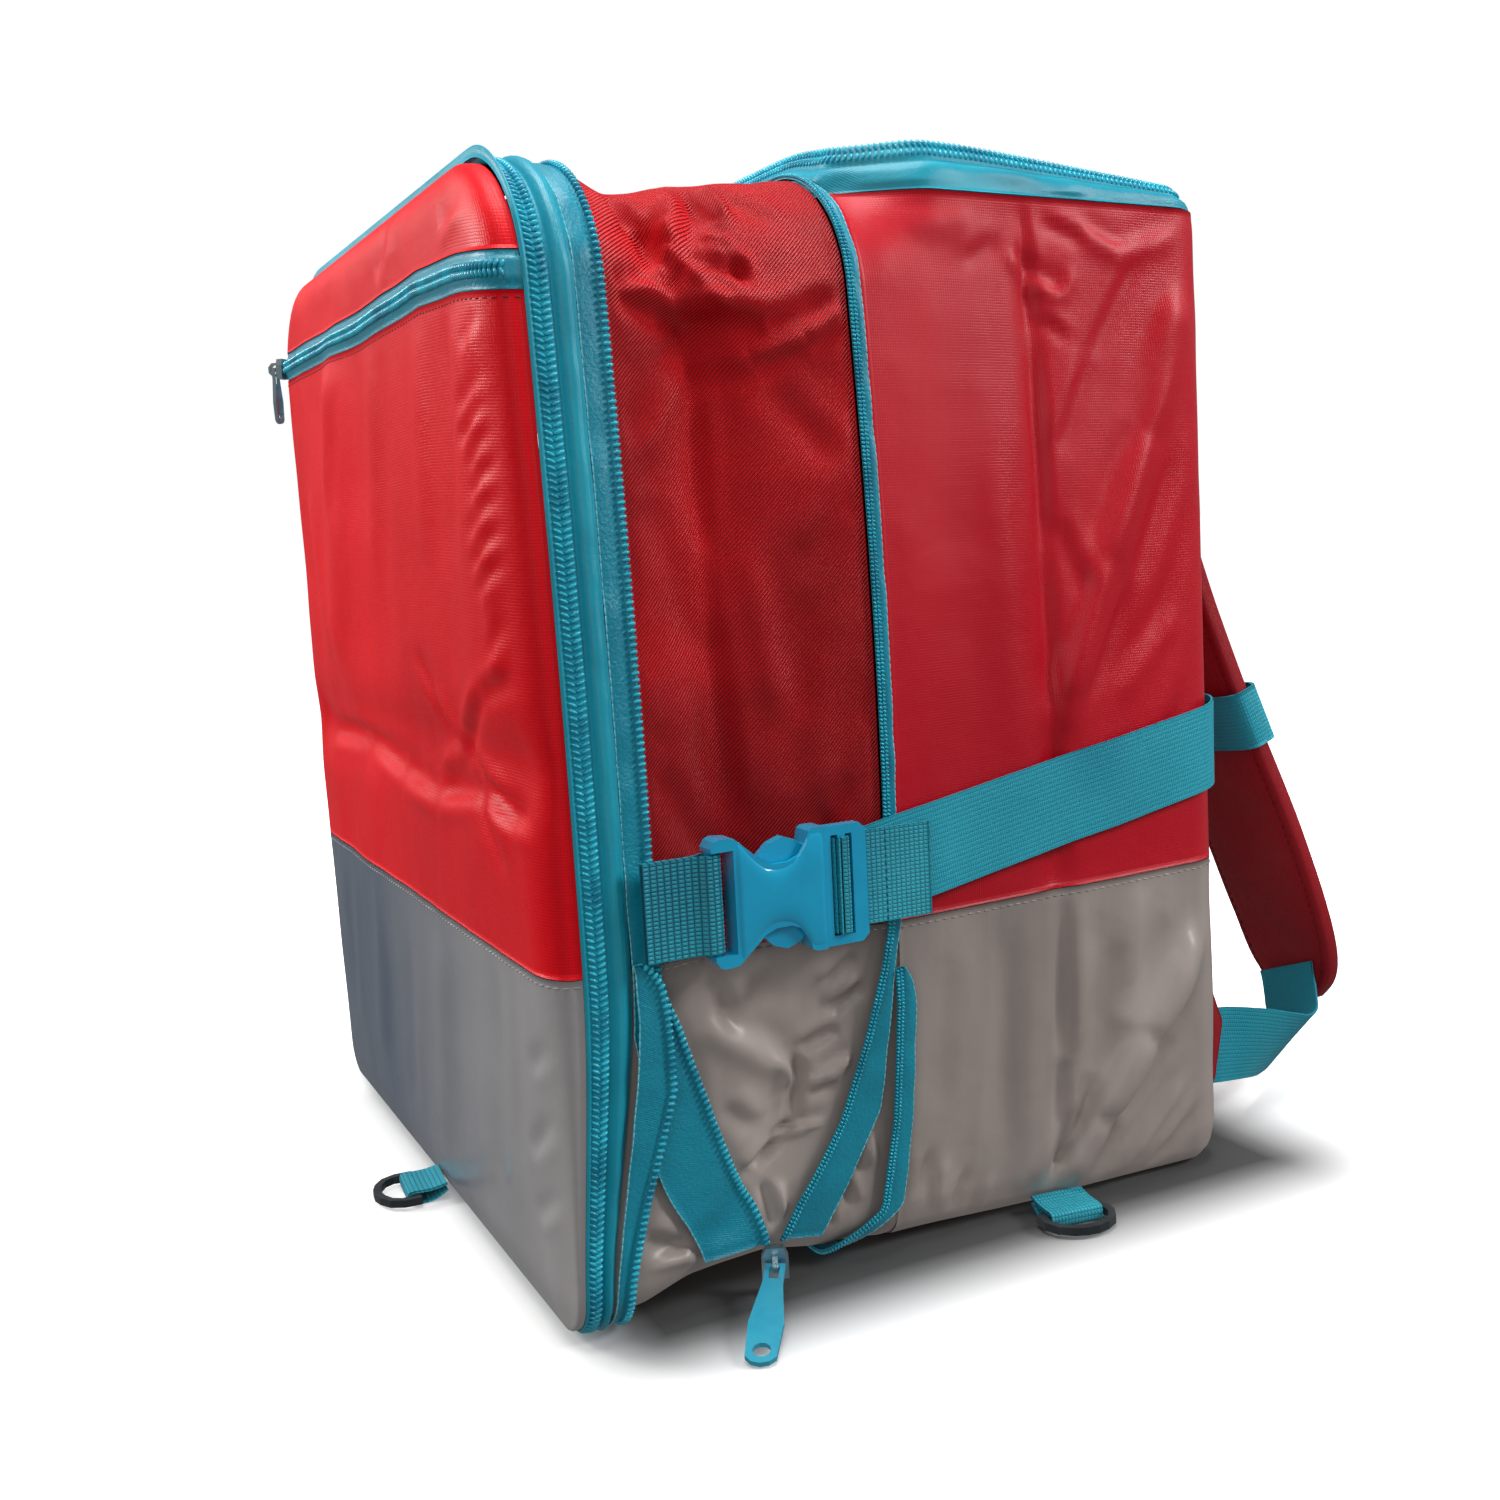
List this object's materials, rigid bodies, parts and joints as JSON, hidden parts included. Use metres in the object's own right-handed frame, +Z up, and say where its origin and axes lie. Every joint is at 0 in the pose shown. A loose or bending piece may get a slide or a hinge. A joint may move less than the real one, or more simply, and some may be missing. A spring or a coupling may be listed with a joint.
{
  "type": "insulated delivery backpack",
  "caption": "Boxy insulated backpack with an opened front expansion gusset, zipped lid and front pocket, side buckle strap, shoulder straps and foot rings.",
  "frame": {"origin": "on the floor, below the middle of the bag without its shoulder straps", "axes": "+X to the bag's side with the buckle strap, +Y from the front pocket to the back with the shoulder straps, +Z up"},
  "size_m": [0.456, 0.4983, 0.4643],
  "materials": {
    "red_cloth": "coated cloth, satin",
    "grey_cloth": "coated cloth, satin",
    "dark_red_zip": "zip tape with a closed coil",
    "blue_zip": "zip tape with a coil",
    "blue_webbing": "woven webbing",
    "buckle_plastic": "gloss",
    "ring_plastic": "satin",
    "zip_metal": "die cast, worn",
    "pull_paint": "gloss paint"
  },
  "bodies": {
    "bag": {"front_top_strip": "red_cloth", "front_pocket_panel": "red_cloth", "front_grey_band": "grey_cloth", "pocket_zip": "dark_red_zip", "front_zip": "blue_zip", "gusset_upper": "red_cloth", "gusset_lower": "grey_cloth", "expansion_zip_front": "blue_zip", "expansion_zip_back": "blue_zip", "bottom_zip_front": "blue_zip", "bottom_zip_back": "blue_zip", "body_wall": "red_cloth", "body_grey_band": "grey_cloth", "base_panel": "grey_cloth", "lid_zip": "blue_zip", "lid_panel": "red_cloth", "strap_tab": "blue_webbing", "buckle_female": "buckle_plastic", "buckle_male": "buckle_plastic", "side_strap": "blue_webbing", "strap_free_end": "blue_webbing", "shoulder_strap_right": "red_cloth", "strap_band_right": "blue_webbing", "corner_wing_right": "red_cloth", "adjuster_webbing_right": "blue_webbing", "shoulder_strap_left": "red_cloth", "strap_band_left": "blue_webbing", "corner_wing_left": "red_cloth", "adjuster_webbing_left": "blue_webbing", "front_tab": "blue_webbing", "front_ring": "ring_plastic", "side_tab": "blue_webbing", "side_ring": "ring_plastic", "expansion_slider": "zip_metal", "pocket_slider": "zip_metal", "front_zip_slider": "zip_metal"},
    "expansion_pull": {"expansion_pull": "pull_paint"},
    "pocket_pull": {"pocket_pull": "zip_metal"},
    "front_zip_pull": {"front_zip_pull": "pull_paint"}
  },
  "joints": [
    {"name": "expansion_pull_swing", "type": "hinge", "parent": "bag", "child": "expansion_pull", "pos_m": [0.20406, -0.08052, 0.01386], "axis": [-0.564, -0.8258, 0], "range_deg": [0, 85]},
    {"name": "pocket_pull_swing", "type": "hinge", "parent": "bag", "child": "pocket_pull", "pos_m": [-0.1897, -0.17158, 0.40995], "axis": [-0.766, 0.6428, 0], "range_deg": [0, 150]},
    {"name": "front_zip_pull_swing", "type": "hinge", "parent": "bag", "child": "front_zip_pull", "pos_m": [-0.19623, -0.15568, 0.04576], "axis": [0, 1, 0], "range_deg": [0, 150]}
  ]
}
